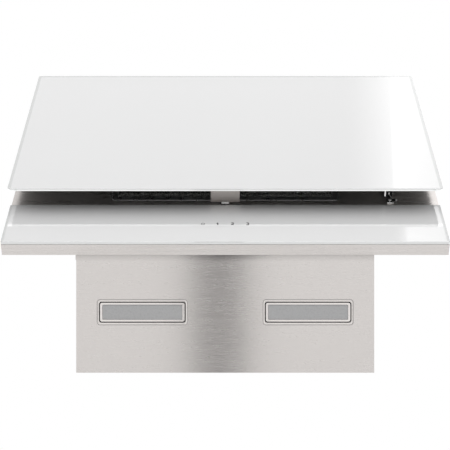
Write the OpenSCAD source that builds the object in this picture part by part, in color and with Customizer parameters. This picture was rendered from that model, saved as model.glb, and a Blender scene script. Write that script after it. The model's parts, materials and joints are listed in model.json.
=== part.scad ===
// Inclined wall range hood, 598 mm wide, with perimeter extraction.
// A slanted steel tray carries a fixed glass with touch keys below and a
// hinged glass flap above it. Air is drawn in through the gap round the
// flap, passes the grease filter, and leaves upward through a round collar.
// Frame: +Z up, the wall is the plane Y = 0, the room is on the -Y side,
// X = 0 is the middle. The origin is the centre of the four wall holes.
// Slope coordinates used below: x across, s up the slope from the lower
// edge of the fixed glass, n outward from that glass's front face.

/* [Glass] */
// Width of both glass panels
hood_w = 598; // [560:1:640]
// Thickness of both glass panels
glass_t = 4; // [3:0.5:6]
// Height of the fixed control glass, along the slope
ctrl_h = 89.8; // [86:0.1:90]
// Height of the hinged flap glass, along the slope
flap_h = 337.2; // [330:0.1:340]
// Distance of the flap's inner face in front of the control glass
flap_gap = 27.7; // [27:0.1:32]
// Corner radius of the flap glass
flap_r = 4; // [2:0.5:12]

/* [Tray] */
// Tilt of the front, in degrees from vertical
slope = 34.2; // [32:0.1:36]
// Width of the steel tray behind the glass
tray_w = 597; // [540:1:597]
// Height of the steel tray, along the slope
tray_h = 412; // [410:1:414]
// Thickness of sheet metal
sheet = 1; // [0.8:0.1:1.2]

/* [Body] */
// Width of the blower body
body_w = 399; // [390:1:420]
// Depth of the body's underside, from the wall
body_d = 157.6; // [156:0.1:160]
// Height of the body from its underside to its top
body_h = 308; // [306:1:312]
// Outer radius of the air outlet collar
collar_r = 74.6; // [72:0.1:76]
// Height of the collar above the body's top
collar_h = 45; // [42:1:60]

/* [Lamps] */
// Distance of each lamp's centre from the middle
lamp_x = 111; // [100:1:120]
// Distance of the lamps' centre line from the wall
lamp_y = 81; // [70:1:90]
// Length of the lamp opening in the underside
lamp_l = 116; // [110:0.5:118]
// Width of the lamp opening in the underside
lamp_b = 28; // [26:0.2:30]

/* [Flap and stay] */
// Opening of the flap drawn, in degrees (the stay follows)
flap_open = 0; // [0:1:75]
// Length of each stay link between its pivots
link_l = 150; // [145:1:150]

/* [Blower] */
// Impeller radius
fan_r = 75; // [70:1:76]
// Number of impeller blades
fan_blades = 24; // [16:1:32]

/* [Hidden] */
$fn = 64;

tray_n = -(glass_t + 0.4);            // front face of the tray
tray_back = 21.5;                     // back face of the tray is n = -tray_back
trim_t = 1.2;                         // thickness of the lower trim
rim_z = -150;                         // underside of the body
top_z = rim_z + body_h;               // top of the body
b0_y = -body_d - tray_back * cos(slope);
b0_z = rim_z - tray_back * sin(slope);
top_y = -body_d - body_h * tan(slope);
top_s = body_h / cos(slope);
flap_s = 82;                          // lower edge of the flap glass
hinge_s = 405;                        // hinge axis
hinge_n = 10;
stay_x = 222.8;                       // left face of the stay's rail
piv_s = hinge_s - link_l;             // stay pivot on the tray, and on the flap when shut
elb_s = hinge_s - 2 * link_l;         // stay elbow when shut
fan_y = -135;                         // blower axis
fan_z = -5;
duct_y = -89;                         // outlet duct and collar centre
scroll_r = 92;
scroll_x = 58;
filt_w = 320;                         // grease filter, a 320 x 260 cassette
filt_s0 = 108;
filt_s1 = 368;
catch_s = 98;                         // push catch
C_STEEL = [0.80, 0.79, 0.78];
C_GALV = [0.66, 0.68, 0.69];
C_WHITE = [0.93, 0.93, 0.93];
C_BLACK = [0.07, 0.07, 0.08];
C_GREY = [0.45, 0.45, 0.46];

// ---- helpers -------------------------------------------------------------

// Children drawn in slope coordinates (x, s, n)
module slab() translate([0, b0_y, b0_z]) rotate([90 + slope, 0, 0]) children();
// Box between two corners
module bx(a, b) translate(a) cube(b - a);
// Cylinder along X
module xcyl(x0, x1, y, z, r) translate([x0, y, z]) rotate([0, 90, 0]) cylinder(r = r, h = x1 - x0);
// Cylinder along Z of the current frame
module zcyl(x, y, z0, z1, r) translate([x, y, z0]) cylinder(r = r, h = z1 - z0);
// Flat outline (y, z) drawn out along X
module along_x(x0, x1) translate([x0, 0, 0]) rotate([90, 0, 90]) linear_extrude(height = x1 - x0) children();
// Rectangle with round corners
module rrect(w, h, r) {
    square([w - 2 * r, h], center = true);
    square([w, h - 2 * r], center = true);
    for (i = [-1, 1], j = [-1, 1]) translate([i * (w / 2 - r), j * (h / 2 - r)]) circle(r = r);
}
// The filter's outline, grown by g all round, between two heights
module filter_block(g, n0, n1) translate([0, (filt_s0 + filt_s1) / 2, n0]) linear_extrude(height = n1 - n0)
    rrect(filt_w + 2 * g, filt_s1 - filt_s0 + 2 * g, 6 + g);
// The flap's own motion about the hinge axis
module flap_motion()
    slab() translate([0, hinge_s, hinge_n]) rotate([-flap_open, 0, 0]) translate([0, -hinge_s, -hinge_n]) children();
// The lower stay link turns with the flap, about its pivot on the tray
module lower_link_motion()
    slab() translate([0, piv_s, hinge_n]) rotate([-flap_open, 0, 0]) translate([0, -piv_s, -hinge_n]) children();
// The upper stay link stays parallel to the tray and follows its pivot on the flap
module upper_link_motion()
    slab() translate([0, -link_l * (cos(flap_open) - 1), link_l * sin(flap_open)]) children();
// Closed coil of round wire along Z: r = coil radius, w = wire radius
module coil(r, w, h, turns) {
    seg = 14;
    sides = 6;
    n = seg * turns;
    pts = [for (i = [0 : n], k = [0 : sides - 1])
        let (a = 360 * i / seg, z = w + (h - 2 * w) * i / n, q = 360 * k / sides)
        [(r + w * cos(q)) * cos(a), (r + w * cos(q)) * sin(a), z + w * sin(q)]];
    walls = [for (i = [0 : n - 1], k = [0 : sides - 1])
        let (k2 = (k + 1) % sides)
        [i * sides + k, i * sides + k2, (i + 1) * sides + k2, (i + 1) * sides + k]];
    ends = [[for (k = [sides - 1 : -1 : 0]) k], [for (k = [0 : sides - 1]) n * sides + k]];
    polyhedron(points = pts, faces = concat([for (f = walls) [f[3], f[2], f[1], f[0]]], [for (f = ends) [for (k = [sides - 1 : -1 : 0]) f[k]]]), convexity = 8);
}
// Pan-head screw: head outward along +Z from the seat at z = 0
module screw(r = 2, len = 8) {
    difference() {
        union() {
            cylinder(r = 2 * r, h = 1.2 * r);
            translate([0, 0, -len]) cylinder(r = r, h = len);
        }
        for (a = [0, 90]) rotate([0, 0, a]) translate([-1.2 * r, -0.25 * r, 0.6 * r]) cube([2.4 * r, 0.5 * r, r]);
    }
}

// ---- slanted tray and fixed glass ---------------------------------------

module tray_shell() {
    color(C_STEEL) slab() difference() {
        bx([-tray_w / 2, trim_t, -tray_back], [tray_w / 2, tray_h, tray_n]);
        bx([-tray_w / 2 + sheet, trim_t + sheet, -tray_back - 1], [tray_w / 2 - sheet, tray_h - sheet, tray_n - sheet]);
        // filter opening
        filter_block(1.5, tray_n - 5, tray_n + 1);
        // window for the touch board behind the glass
        bx([-46, 26, tray_n - 5], [46, 60, tray_n + 1]);
        // push catch
        zcyl(0, catch_s, tray_n - 5, tray_n + 1, 5.9);
        // hinge base screws
        for (i = [-1, 1], j = [-1, 1]) zcyl(i * 200 + j * 10, 390, tray_n - 5, tray_n + 1, 2.1);
    }
}

// Trim round the foot of the tray, flush with the edges of the control glass
module lower_trim() {
    color(C_STEEL) slab() {
        bx([-hood_w / 2, 0, -tray_back], [hood_w / 2, trim_t, tray_n]);
        for (i = [-1, 1]) bx([i > 0 ? tray_w / 2 : -hood_w / 2, trim_t, -tray_back], [i > 0 ? hood_w / 2 : -tray_w / 2, ctrl_h - 3, tray_n]);
    }
}

module tray_back_plate() {
    color(C_GALV) slab() difference() {
        bx([-tray_w / 2 + sheet, trim_t + sheet, -tray_back], [tray_w / 2 - sheet, tray_h - sheet, -tray_back + sheet]);
        bx([-filt_w / 2 + 8, filt_s0 + 8, -tray_back - 1], [filt_w / 2 - 8, filt_s1 - 9, -tray_back + 2]);
        // cable way for the touch board
        bx([52, 34, -tray_back - 1], [76, 52, -tray_back + 2]);
    }
}

module filter_seat() {
    color(C_STEEL) slab() difference() {
        filter_block(2.5, -16.5, tray_n - sheet);
        filter_block(1.5, -15.5, 0);
        bx([-filt_w / 2 + 8, filt_s0 + 8, -18], [filt_w / 2 - 8, filt_s1 - 9, 0]);
        // slot for the filter's latch tongue
        bx([-9, filt_s0 - 5, -13], [9, filt_s0, -8]);
    }
}

module control_glass() {
    color(C_WHITE) slab() bx([-hood_w / 2, 0, -glass_t], [hood_w / 2, ctrl_h, 0]);
}

module glass_bond_strips() {
    color(C_BLACK) slab() {
        bx([-tray_w / 2 + 2, 1.5, tray_n], [tray_w / 2 - 2, 14, -glass_t]);
        bx([-tray_w / 2 + 2, ctrl_h - 12, tray_n], [-16, ctrl_h - 1.5, -glass_t]);
        bx([16, ctrl_h - 12, tray_n], [tray_w / 2 - 2, ctrl_h - 1.5, -glass_t]);
        for (i = [-1, 1]) bx([i * 285 - 8, 20, tray_n], [i * 285 + 8, ctrl_h - 18, -glass_t]);
    }
}

module touch_board() {
    color([0.05, 0.30, 0.16]) slab() {
        bx([-44, 28, -11.6], [44, 58, -10]);
        bx([-8, 34, -14], [6, 46, -11.6]);
        bx([26, 46, -17], [40, 54, -11.6]);
        for (k = [0 : 3]) bx([-38 + 8 * k, 48, -13], [-34 + 8 * k, 50, -11.6]);
    }
}

module touch_sensor_pads() {
    color(C_GREY) slab() for (x = [-30.3, -10.4, 9.8, 30.3]) difference() {
        zcyl(x, 42.8, -10, -glass_t, 6.5);
        zcyl(x, 42.8, -11, -glass_t - 1, 4.5);
    }
}

// ---- body ----------------------------------------------------------------

module side_outline(inset = 0) polygon([
    [0, rim_z + inset], [-body_d, rim_z + inset], [top_y, top_z], [0, top_z]
]);

module lamp_place(i) translate([i * lamp_x, -lamp_y, 0]) children();

module body_shell() {
    color(C_STEEL) {
        difference() {
            union() {
                difference() {
                    along_x(-body_w / 2, body_w / 2) side_outline();
                    along_x(-body_w / 2 + sheet, body_w / 2 - sheet)
                        polygon([[10, rim_z + sheet], [-body_d - sheet * tan(slope) - 40, rim_z + sheet],
                                 [top_y - 60, top_z + 20], [10, top_z + 20]]);
                }
                // pressed frame round each lamp, inside face
                for (i = [-1, 1]) lamp_place(i) translate([0, 0, rim_z + sheet]) linear_extrude(height = 0.6) rrect(123, 36.8, 5);
            }
            // pressed frame round each lamp, outside face
            for (i = [-1, 1]) lamp_place(i) {
                translate([0, 0, rim_z - 1]) linear_extrude(height = 1.6) rrect(121, 34.8, 4);
                translate([0, 0, rim_z - 1]) linear_extrude(height = 6) rrect(lamp_l, lamp_b, 3.4);
            }
            // side screws
            for (i = [-1, 1], z = [-120, -10, 120]) xcyl(i * body_w / 2 - 3, i * body_w / 2 + 3, -12, z, 1.6);
        }
        // folded corner at the front of the left side
        bx([-body_w / 2 - 0.9, -body_d + 0.2, rim_z], [-body_w / 2 + 0.5, -body_d + 6.6, rim_z + 12]);
        // flanges that carry the tray
        slab() for (i = [-1, 1])
            bx([i > 0 ? body_w / 2 - sheet / 2 : -body_w / 2 - 14, 3, -tray_back - sheet], [i > 0 ? body_w / 2 + 14 : -body_w / 2 + sheet / 2, 366, -tray_back]);
    }
}

module back_panel() {
    color(C_GALV) difference() {
        union() {
            bx([-body_w / 2 + sheet, -1.2, rim_z + sheet], [body_w / 2 - sheet, 0, top_z - sheet]);
            // pressed stiffeners
            for (z = [-95, -35, 35]) bx([-118, -3.2, z - 4], [118, -1.2, z + 4]);
            // return flanges inside the body's sides
            for (i = [-1, 1])
                bx([i > 0 ? body_w / 2 - 2 * sheet - 0.2 : -body_w / 2 + sheet, -20, rim_z + sheet],
                   [i > 0 ? body_w / 2 - sheet : -body_w / 2 + 2 * sheet + 0.2, -1.2, top_z - sheet - 4]);
        }
        // four wall holes
        for (i = [-1, 1], j = [-1, 1]) translate([i * 150, 5, j * 110]) rotate([90, 0, 0]) cylinder(r = 4, h = 15);
        for (i = [-1, 1], z = [-120, -10, 120]) xcyl(i * body_w / 2 - 6, i * body_w / 2 + 6, -12, z, 1.6);
    }
}

module top_panel() {
    color(C_GALV) difference() {
        union() {
            bx([-body_w / 2 + sheet, top_y + 1, top_z - sheet], [body_w / 2 - sheet, 0, top_z]);
            // flange that joins the tray
            slab() bx([-body_w / 2 + 2 * sheet, top_s - 10, -tray_back - sheet], [body_w / 2 - 2 * sheet, top_s - 0.8, -tray_back]);
        }
        zcyl(0, duct_y, top_z - 5, top_z + 5, 72.6);
        // gland hole
        zcyl(150, -45, top_z - 5, top_z + 5, 8.1);
        // chimney fixing holes
        for (i = [-1, 1]) zcyl(i * 100, -30, top_z - 5, top_z + 5, 2.1);
        // collar screws
        for (a = [45 : 90 : 315]) zcyl(80 * cos(a), duct_y + 80 * sin(a), top_z - 5, top_z + 5, 1.6);
        // ventilation slots over the electronics
        for (k = [0 : 7]) bx([130 + 6 * k, -150, top_z - 5], [133 + 6 * k, -120, top_z + 5]);
    }
}

module outlet_collar() {
    color(C_BLACK) translate([0, duct_y, top_z]) difference() {
        union() {
            cylinder(r = collar_r, h = collar_h);
            cylinder(r = 85, h = 2.5);
            translate([0, 0, 8]) rotate_extrude() polygon([[70, -1.2], [collar_r + 0.6, -1.2], [collar_r + 0.6, 1.2], [70, 1.2]]);
        }
        translate([0, 0, -1]) cylinder(r = 70.6, h = 14.1);
        translate([0, 0, 13]) cylinder(r = 72.6, h = collar_h);
        // seats of the damper pin
        translate([0, 0, 17]) rotate([0, 90, 0]) translate([0, 0, -76]) cylinder(r = 2.0, h = 152);
        for (a = [45 : 90 : 315]) translate([80 * cos(a), 80 * sin(a), -1]) cylinder(r = 1.6, h = 6);
    }
}

module damper_pin() {
    color(C_STEEL) xcyl(-74, 74, duct_y, top_z + 17, 2.0);
}

// Half disc of the non-return damper; side -1 is the front half
module nonreturn_half(side, knuckles) translate([0, duct_y, top_z + 17]) {
    difference() {
        union() {
            intersection() {
                translate([0, 0, -3.4]) cylinder(r = 71.6, h = 1.4);
                translate([-80, side > 0 ? 4.2 : -80, -5]) cube([160, 75.8, 10]);
            }
            for (k = knuckles) {
                xcyl(k, k + 16, 0, 0, 3.4);
                bx([k, side > 0 ? 0 : -8, -3.4], [k + 16, side > 0 ? 8 : 0, -2]);
            }
            // stiffening ribs
            for (x = [-36, 0, 36]) bx([x - 0.8, side > 0 ? 8 : -54, -2], [x + 0.8, side > 0 ? 54 : -8, 1]);
        }
        xcyl(-80, 80, 0, 0, 2.06);
    }
}
module nonreturn_flap_front() { color(C_GREY) nonreturn_half(-1, [-60, 24]); }
module nonreturn_flap_rear() { color(C_GREY) nonreturn_half(1, [-40, 44]); }

// ---- blower ---------------------------------------------------------------

module scroll_outline(inset = 0) {
    translate([fan_y, fan_z]) circle(r = scroll_r - inset);
    translate([duct_y - 46 + inset, fan_z]) square([92 - 2 * inset, top_z - fan_z - sheet]);
}
module scroll_half(side) color(C_BLACK) difference() {
    along_x(side > 0 ? 0 : -scroll_x, side > 0 ? scroll_x : 0) scroll_outline();
    along_x(side > 0 ? -1 : -scroll_x + 1.6, side > 0 ? scroll_x - 1.6 : 1) {
        scroll_outline(1.6);
        translate([duct_y - 46 + 1.6, fan_z + 30]) square([92 - 3.2, top_z - fan_z]);
    }
    xcyl(-70, 70, fan_y, fan_z, 60);
}
module scroll_half_left() scroll_half(-1);
module scroll_half_right() scroll_half(1);

module inlet_ring(side) color(C_GREY) translate([side * scroll_x, fan_y, fan_z]) rotate([0, side * 90, 0])
    rotate_extrude() polygon([[56, -9], [58, -9], [60, 0], [76, 0], [76, 2.5], [64, 2.5], [59, 0.5]]);
module inlet_rings() for (i = [-1, 1]) inlet_ring(i);

module impeller() color(C_GREY) {
    difference() {
        union() {
            xcyl(-1, 1, fan_y, fan_z, fan_r - 3);
            xcyl(-10, 10, fan_y, fan_z, 12);
            for (x = [-44, 42]) difference() {
                xcyl(x, x + 2, fan_y, fan_z, fan_r);
                xcyl(x - 1, x + 3, fan_y, fan_z, fan_r - 10);
            }
            for (k = [0 : fan_blades - 1]) translate([0, fan_y, fan_z]) rotate([360 / fan_blades * k, 0, 0])
                translate([-43, fan_r - 9.5, 0]) rotate([25, 0, 0]) cube([86, 8.6, 1.4]);
        }
        xcyl(-20, 20, fan_y, fan_z, 4);
    }
}

module motor_shaft() color(C_STEEL) xcyl(-28, 14, fan_y, fan_z, 4);

module motor() color(C_GALV) difference() {
    union() {
        xcyl(-56, -14, fan_y, fan_z, 38);
        xcyl(-62, -56, fan_y, fan_z, 14);
        xcyl(-14, -12.2, fan_y, fan_z, 12);
    }
    xcyl(-30, -10, fan_y, fan_z, 4.08);
    for (a = [0 : 45 : 315]) translate([0, fan_y, fan_z]) rotate([a, 0, 0]) bx([-48, 30, -3], [-22, 40, 3]);
}

module motor_spider() color(C_GALV) difference() {
    union() {
        xcyl(-64, -62, fan_y, fan_z, 22);
        for (a = [90, 210, 330]) translate([0, fan_y, fan_z]) rotate([a, 0, 0]) {
            bx([-64, 15, -7], [-62, 80, 7]);
            bx([-64, 72, -7], [-60.5, 80, 7]);
        }
    }
    xcyl(-70, -50, fan_y, fan_z, 5);
}

module capacitor() color([0.85, 0.85, 0.83]) {
    zcyl(-140, -22.4, -60, 5, 17.5);
    zcyl(-140, -22.4, 5, 8, 13);
    for (i = [-1, 1]) bx([-140 + i * 6 - 0.4, -25.5, 8], [-140 + i * 6 + 0.4, -19.5, 16]);
}

module capacitor_clip() color(C_GALV) difference() {
    bx([-160.5, -42.9, -34], [-119.5, -1.2, -22]);
    zcyl(-140, -22.4, -36, -20, 17.5);
    bx([-158.5, -50, -36], [-121.5, -22, -20]);
    bx([-158.5, -44, -36], [-121.5, -38, -20]);
}

module control_box() color(C_BLACK) difference() {
    bx([88, -170, 115], [192, -60, 155]);
    bx([90, -168, 117], [190, -62, 156]);
    bx([186, -140, 121], [195, -120, 135]);
    bx([84, -110, 121], [92, -90, 133]);
}

module control_box_lid() color(C_BLACK) difference() {
    bx([88, -170, 155], [192, -60, top_z - sheet]);
    for (k = [0 : 5]) bx([130 + 8 * k, -150, 150], [134 + 8 * k, -120, 160]);
}

module power_board() color([0.05, 0.30, 0.16]) {
    bx([92, -166, 117], [188, -64, 118.6]);
    bx([100, -156, 118.6], [126, -126, 141]);
    zcyl(140, -140, 118.6, 136, 6);
    zcyl(156, -140, 118.6, 136, 6);
    for (k = [0 : 2]) bx([136 + 16 * k, -110, 118.6], [148 + 16 * k, -92, 134]);
    bx([98, -90, 118.6], [128, -80, 128]);
}

module terminal_block() color(C_WHITE) difference() {
    bx([150, -84, 118.6], [182, -68, 133]);
    for (k = [0 : 2]) zcyl(156 + 10 * k, -76, 126, 134, 2.6);
    for (k = [0 : 2]) translate([156 + 10 * k, -60, 123]) rotate([90, 0, 0]) cylinder(r = 2, h = 20);
}

module led_driver() color(C_WHITE) {
    bx([-40, -36, rim_z + sheet], [50, -8, rim_z + 22]);
    for (i = [-48, 50]) bx([i, -28, rim_z + sheet], [i + 8, -16, rim_z + 3]);
}

module cable_gland() color(C_BLACK) difference() {
    union() {
        zcyl(150, -45, top_z - 7, top_z + 12, 8);
        translate([150, -45, top_z]) cylinder(r = 11.5, h = 5, $fn = 6);
        zcyl(150, -45, top_z + 5, top_z + 15, 9.2);
        translate([150, -45, top_z - 6]) cylinder(r = 11.5, h = 5, $fn = 6);
    }
    zcyl(150, -45, top_z - 10, top_z + 20, 4.2);
}

// One run of internal cable through a list of points
module cable_run(p, r) for (i = [0 : len(p) - 2]) {
    d = p[i + 1] - p[i];
    l = norm(d);
    translate(p[i]) rotate([0, acos(d[2] / l), atan2(d[1], d[0])]) cylinder(r = r, h = l, $fn = 24);
    if (i > 0) translate(p[i]) sphere(r = r + 0.3, $fn = 24);
}
module wiring_harness() color(C_BLACK) {
    cable_run([[192.1, -130, 127], [195, -130, 127], [195, -130, -100], [185, -60, -136], [70, -22, -138], [50.1, -22, -138]], 2);
    cable_run([[87.9, -100, 126], [82, -100, 126], [80, -30, 60], [0, -25, -115], [-118, -25, -120], [-118, -63.4, -141]], 2);
}

module hanger_brackets() color(C_GALV) for (i = [-1, 1]) translate([i * 150, 0, 0]) {
    difference() {
        union() {
            bx([-16, -2.8, 84], [16, -1.2, 136]);
            for (x = [-16, 14.4]) bx([x, -26, 84], [x + 1.6, -2.8, 111]);
            bx([-16, -26, 84], [16, -2.8, 85.6]);
        }
        translate([0, 5, 110]) rotate([90, 0, 0]) cylinder(r = 4, h = 15);
        zcyl(0, -14, 80, 90, 3);
    }
}

module hanger_screws() color(C_STEEL) for (i = [-1, 1]) translate([i * 150, -14, 85.6]) difference() {
    union() {
        translate([0, 0, -10]) cylinder(r = 3, h = 27);
        cylinder(r = 5.5, h = 2.4, $fn = 6);
        translate([0, 0, 17]) cylinder(r = 4.5, h = 3);
    }
    translate([-5, -0.6, 18.6]) cube([10, 1.2, 3]);
}

// ---- lamps ---------------------------------------------------------------

module lamp_bezel(i) color(C_STEEL) lamp_place(i) difference() {
    union() {
        translate([0, 0, rim_z + 0.3]) linear_extrude(height = 8.9) rrect(lamp_l - 2.6, lamp_b - 2.6, 2.7);
    }
    translate([0, 0, rim_z - 1]) linear_extrude(height = 2.3) rrect(107.1, 20, 1.4);
    translate([0, 0, rim_z + 1]) linear_extrude(height = 9) rrect(109.5, 22.2, 1);
}
module lamp_bezel_left() lamp_bezel(-1);
module lamp_bezel_right() lamp_bezel(1);

module lamp_lens(i) color([0.66, 0.66, 0.66]) lamp_place(i) {
    translate([0, 0, rim_z + 0.9]) linear_extrude(height = 0.4) rrect(106.4, 19.3, 1);
    translate([0, 0, rim_z + 1.3]) linear_extrude(height = 1.8) rrect(109.3, 22, 0.9);
}
module lamp_lens_left() lamp_lens(-1);
module lamp_lens_right() lamp_lens(1);

module led_board(i) color(C_WHITE) lamp_place(i) {
    bx([-50, -7, rim_z + 10], [50, 7, rim_z + 11.4]);
    for (k = [-4 : 4]) bx([11 * k - 1.6, -1.6, rim_z + 8.9], [11 * k + 1.6, 1.6, rim_z + 10]);
}
module led_boards() for (i = [-1, 1]) led_board(i);

module lamp_housing(i) color(C_BLACK) lamp_place(i) difference() {
    union() {
        bx([-59.5, -15.5, rim_z + 1.6], [59.5, 15.5, rim_z + 15]);
        for (x = [-66, 59.5]) bx([x, -6, rim_z + 1.6], [x + 6.5, 6, rim_z + 4]);
    }
    bx([-57.6, -13.8, rim_z], [57.6, 13.8, rim_z + 9.2]);
    bx([-51, -8, rim_z + 8], [51, 8, rim_z + 11.4]);
    bx([45, -3, rim_z + 11], [49, 3, rim_z + 20]);
}
module lamp_housings() for (i = [-1, 1]) lamp_housing(i);

// ---- grease filter -------------------------------------------------------

module filter_frame() color([0.62, 0.62, 0.62]) slab() difference() {
    union() {
        difference() {
            filter_block(0, -15.5, -3.9);
            bx([-filt_w / 2 + 9, filt_s0 + 9, -16], [filt_w / 2 - 9, filt_s1 - 9, -2]);
            filter_block(-1, -14.5, -4.8);
        }
        // pocket that guides the latch
        bx([-20.2, filt_s0, -15.5], [20.2, filt_s0 + 31, -3.9]);
    }
    bx([-19.2, filt_s0 - 1, -14.5], [19.2, filt_s0 + 30, -2]);
}

module filter_mesh() color([0.50, 0.50, 0.50]) slab() difference() {
    filter_block(-1.4, -14.5, -5.2);
    bx([-20.2, filt_s0, -16], [20.2, filt_s0 + 31, -2]);
}

module filter_latch() color([0.18, 0.18, 0.19]) slab() {
    difference() {
        bx([-17, filt_s0 + 2.2, -14.2], [17, filt_s0 + 20, -4.6]);
        bx([-13, filt_s0 + 7, -8.4], [13, filt_s0 + 17, -2]);
    }
    bx([-6.5, filt_s0 - 2.5, -11.4], [6.5, filt_s0 + 2.2, -9.4]);
}

module filter_latch_spring() color(C_STEEL) slab()
    translate([0, filt_s0 + 20, -9.4]) rotate([-90, 0, 0]) coil(1.7, 0.3, 10, 7);

// ---- hinges, catch and stay -----------------------------------------------

module hinge_bases() color(C_STEEL) slab() for (i = [-1, 1]) translate([i * 200, 0, 0]) difference() {
    union() {
        bx([-20, 382, tray_n], [20, hinge_s + 6, tray_n + 1.5]);
        for (x = [-20, 18]) {
            bx([x, hinge_s - 7, tray_n], [x + 2, hinge_s + 6, hinge_n]);
            xcyl(x, x + 2, hinge_s, hinge_n, 6.8);
        }
    }
    xcyl(-30, 30, hinge_s, hinge_n, 2.5);
    for (j = [-1, 1]) zcyl(j * 10, 390, tray_n - 1, tray_n + 3, 2.1);
}

module hinge_pins() color(C_STEEL) slab() for (i = [-1, 1]) {
    xcyl(i * 200 - 20, i * 200 + 20, hinge_s, hinge_n, 2.5);
    xcyl(i * 200 - 21.2, i * 200 - 20, hinge_s, hinge_n, 4);
    xcyl(i * 200 + 20, i * 200 + 20.9, hinge_s, hinge_n, 3.4);
}

module hinge_leaves() color(C_STEEL) flap_motion() for (i = [-1, 1]) translate([i * 200, 0, 0]) difference() {
    union() {
        xcyl(-16, 16, hinge_s, hinge_n, 6);
        bx([-16, hinge_s - 3, hinge_n], [16, hinge_s + 3, flap_gap - 1.5]);
        bx([-30, hinge_s - 40, flap_gap - 1.5], [30, hinge_s + 8, flap_gap]);
    }
    xcyl(-30, 30, hinge_s, hinge_n, 2.56);
}

module catch_housing() color(C_BLACK) slab() difference() {
    union() {
        bx([-9, catch_s - 8, -20], [9, catch_s + 7, tray_n - sheet]);
        bx([-16, catch_s - 5, -7.4], [16, catch_s + 5, tray_n - sheet]);
    }
    zcyl(0, catch_s, -19, -9.9, 6.2);
    zcyl(0, catch_s, -12, 0, 3.75);
    // room for the roller when it is pushed in
    zcyl(0, catch_s, -6.6, 0, 5.7);
}

module catch_spring() color(C_STEEL) slab() translate([0, catch_s, -19]) coil(4.2, 0.45, 7.5, 5);

module catch_plunger() color(C_STEEL) slab() {
    zcyl(0, catch_s, -10, -4.6, 3.6);
    intersection() {
        zcyl(0, catch_s, -5, -1.3, 3.6);
        bx([-2.2, catch_s - 4, -5], [2.2, catch_s + 4, 0]);
    }
    // roller
    xcyl(-5.2, 5.2, catch_s, -1.9, 1.6);
    zcyl(0, catch_s, -11.5, -10, 5.9);
}

module catch_bracket() color(C_STEEL) flap_motion() {
    bx([-20.25, 97.2, 0], [20.25, 98.7, flap_gap]);
    bx([-20.25, 98.7, flap_gap - 1.5], [20.25, 125, flap_gap]);
    bx([-20.25, 98.7, 0], [20.25, 107, 1.5]);
}

module stay_bracket() color(C_STEEL) slab() difference() {
    union() {
        bx([stay_x + 11, piv_s - 18, tray_n], [stay_x + 30, piv_s + 18, tray_n + 1.5]);
        bx([stay_x + 11, piv_s - 9, tray_n], [stay_x + 13, piv_s + 9, hinge_n]);
        xcyl(stay_x + 11, stay_x + 13, piv_s, hinge_n, 7);
    }
    xcyl(stay_x + 8, stay_x + 16, piv_s, hinge_n, 2.0);
    for (j = [-1, 1]) zcyl(stay_x + 22, piv_s + j * 12, tray_n - 1, tray_n + 3, 1.7);
}

// Buffer that the stay's elbow rests on when the flap is shut: a rubber block on a small plate
// with its height screw, a rod along the front and the plate's fixing screw
module stay_rest() color(C_BLACK) slab() {
    bx([stay_x + 4.2, 102.4, tray_n], [stay_x + 11.6, 112, tray_n + 1]);
    bx([stay_x + 4.8, 103.2, tray_n + 1], [stay_x + 11, 110.5, 2.6]);
    zcyl(stay_x + 7.6, 103.2, -1.1, 0.8, 2.1);
    zcyl(stay_x + 7.6, 101.9, tray_n, 0.2, 0.7);
    xcyl(stay_x + 4, stay_x + 12.6, 99.6, tray_n + 1.1, 1.1);
    bx([stay_x + 5.5, 99.6, tray_n], [stay_x + 11, 103, tray_n + 0.6]);
    bx([stay_x + 11, 105.2, tray_n], [stay_x + 19.5, 110.8, tray_n + 0.5]);
    zcyl(stay_x + 17.3, 108, tray_n, tray_n + 1.5, 1.6);
}

module stay_rail() color(C_STEEL) flap_motion() difference() {
    union() {
        bx([stay_x - 1.1, 99, 8], [stay_x + 0.9, piv_s + 20, flap_gap]);
        xcyl(stay_x - 1.1, stay_x + 0.9, piv_s, hinge_n, 6);
        bx([stay_x + 0.9, 150, flap_gap - 1.5], [stay_x + 20, piv_s + 20, flap_gap]);
    }
    xcyl(stay_x - 3, stay_x + 3, piv_s, hinge_n, 2.0);
}

// A flat link with round ends between two points on the slope at height hinge_n
module link(x0, x1, sa, sb, r) {
    bx([x0, sa, hinge_n - r + 0.6], [x1, sb, hinge_n + r - 0.6]);
    xcyl(x0, x1, sa, hinge_n, r);
    xcyl(x0, x1, sb, hinge_n, r);
}

module stay_lower_link() color(C_BLACK) lower_link_motion() difference() {
    link(stay_x + 7, stay_x + 10, elb_s, piv_s, 6.6);
    xcyl(stay_x, stay_x + 20, piv_s, hinge_n, 2.06);
    xcyl(stay_x, stay_x + 20, elb_s, hinge_n, 2.0);
}

module stay_upper_link() color(C_BLACK) upper_link_motion() difference() {
    link(stay_x + 1.6, stay_x + 4.6, elb_s, piv_s, 6.6);
    xcyl(stay_x, stay_x + 20, piv_s, hinge_n, 2.06);
    xcyl(stay_x, stay_x + 20, elb_s, hinge_n, 2.4);
}

// Rivet of the lower link, fixed in the tray's bracket
module stay_tray_pin() color(C_STEEL) slab() {
    xcyl(stay_x + 6, stay_x + 13, piv_s, hinge_n, 2.0);
    xcyl(stay_x + 13, stay_x + 14.2, piv_s, hinge_n, 3.6);
    xcyl(stay_x + 6, stay_x + 6.9, piv_s, hinge_n, 3.6);
}

// Rivet of the upper link, fixed in the flap's rail
module stay_flap_pin() color(C_STEEL) flap_motion() {
    xcyl(stay_x - 1.1, stay_x + 5.1, piv_s, hinge_n, 2.0);
    xcyl(stay_x - 2.3, stay_x - 1.1, piv_s, hinge_n, 3.6);
}

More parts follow.
